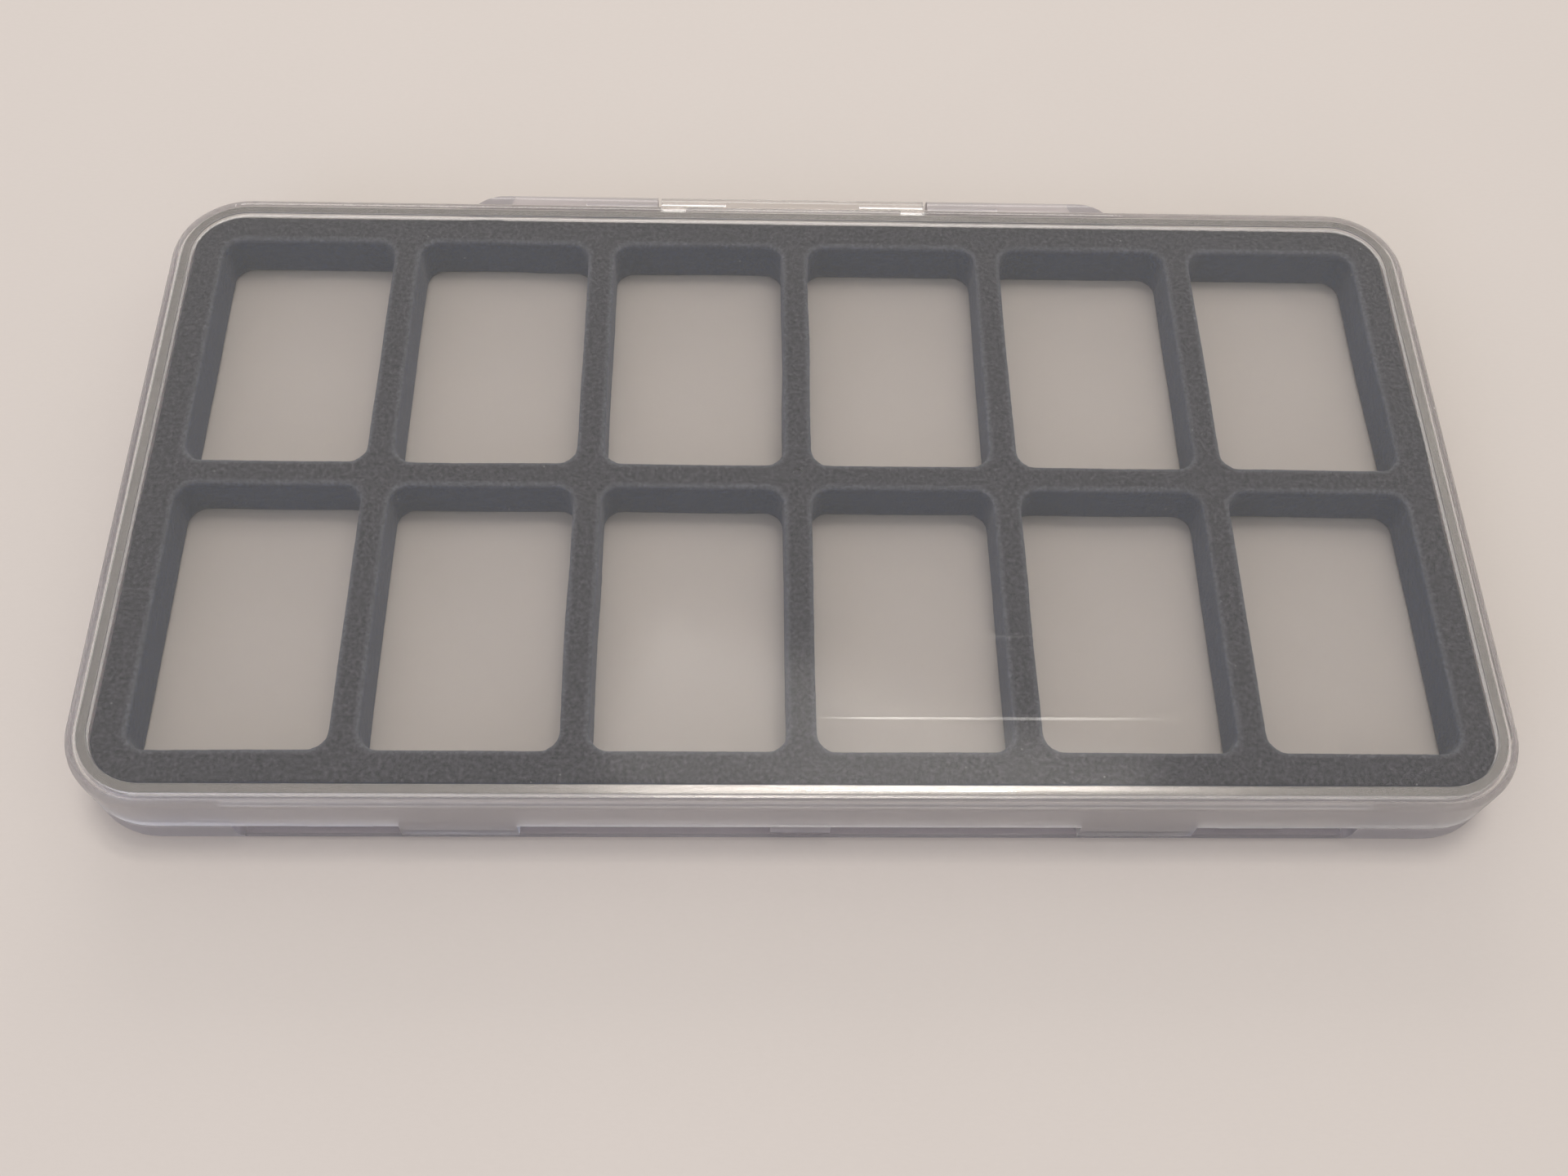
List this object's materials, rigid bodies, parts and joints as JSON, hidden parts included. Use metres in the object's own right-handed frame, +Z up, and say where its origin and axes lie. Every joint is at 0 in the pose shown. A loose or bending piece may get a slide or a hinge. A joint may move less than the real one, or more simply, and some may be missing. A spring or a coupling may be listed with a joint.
{
  "type": "wet palette",
  "caption": "Slim hinged clear case with a foam grid that divides a sheet of palette paper, kept damp by a sponge, into paint wells.",
  "frame": {"origin": "centre of the tray's flat underside, on the surface it lies on", "axes": "+X along the long side, +Y towards the hinge, +Z up through the lid"},
  "size_m": [0.19, 0.1057, 0.013],
  "materials": {
    "clear_case": "translucent polypropylene, moulded, slightly cloudy",
    "gasket": "soft translucent silicone",
    "hinge_pins": "the same clear plastic as the case",
    "sponge": "fine-pored cellulose sponge",
    "palette_paper": "smooth matt palette paper",
    "foam": "dark grey closed-cell foam with fine pores, die cut"
  },
  "bodies": {
    "tray": {"base_tray": "clear_case", "hinge_pin_left": "hinge_pins", "hinge_pin_right": "hinge_pins", "hydration_sponge": "sponge", "palette_paper": "palette_paper", "foam_well_grid": "foam"},
    "lid": {"lid": "clear_case", "lid_gasket": "gasket"}
  },
  "joints": [
    {"name": "lid_hinge", "type": "hinge", "parent": "tray", "child": "lid", "pos_m": [0, 0.0533, 0.0065], "axis": [-1, 0, 0], "range_deg": [0, 180]}
  ]
}
